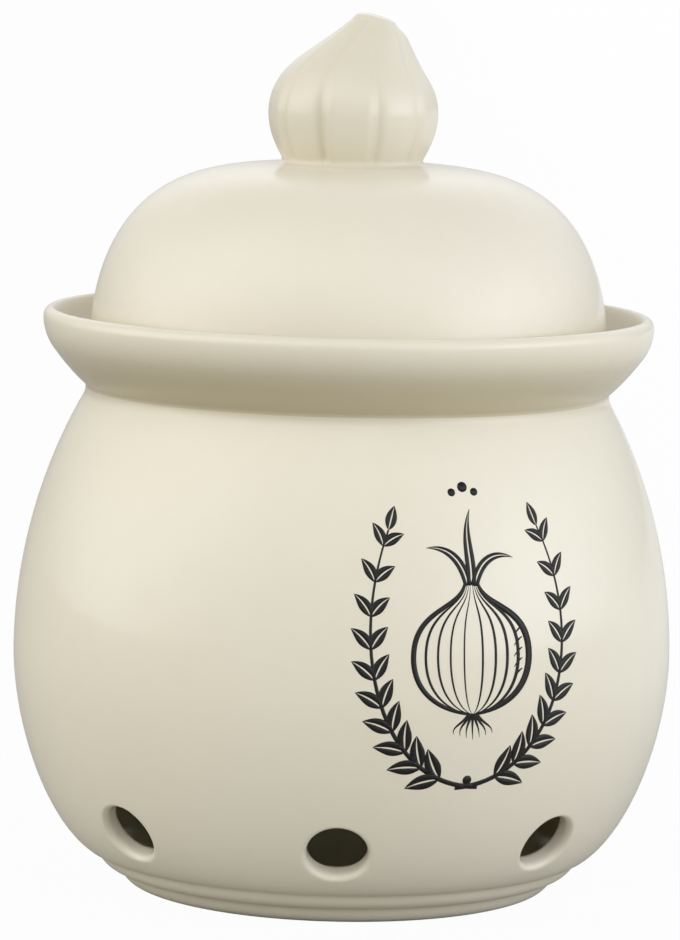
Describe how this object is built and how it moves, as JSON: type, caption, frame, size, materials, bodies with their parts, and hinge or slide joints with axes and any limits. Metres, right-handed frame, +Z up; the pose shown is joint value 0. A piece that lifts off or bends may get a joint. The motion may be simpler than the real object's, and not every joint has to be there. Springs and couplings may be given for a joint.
{
  "type": "onion keeper",
  "caption": "Round-bellied glazed pot with a flared rim and a ring of air vents near the foot, a domed lid that sits inside the rim, and a lobed bulb knob; keeps onions dark and aired.",
  "frame": {"origin": "on the table, under the middle of the foot ring", "axes": "+Z up along the pot's axis, -Y towards the viewer of the picture, +X to the viewer's right, where the knob's tip leans"},
  "size_m": [0.18, 0.18, 0.2397],
  "materials": {
    "pot_glaze": "satin cream glaze",
    "lid_glaze": "satin cream glaze",
    "knob_glaze": "satin cream glaze"
  },
  "bodies": {
    "pot": {"pot": "pot_glaze"},
    "lid": {"lid": "lid_glaze", "knob": "knob_glaze"}
  },
  "joints": [
    {"name": "lid_lift", "type": "slide", "parent": "pot", "child": "lid", "axis": [0, 0, 1], "range_m": [0, 0.08]}
  ]
}
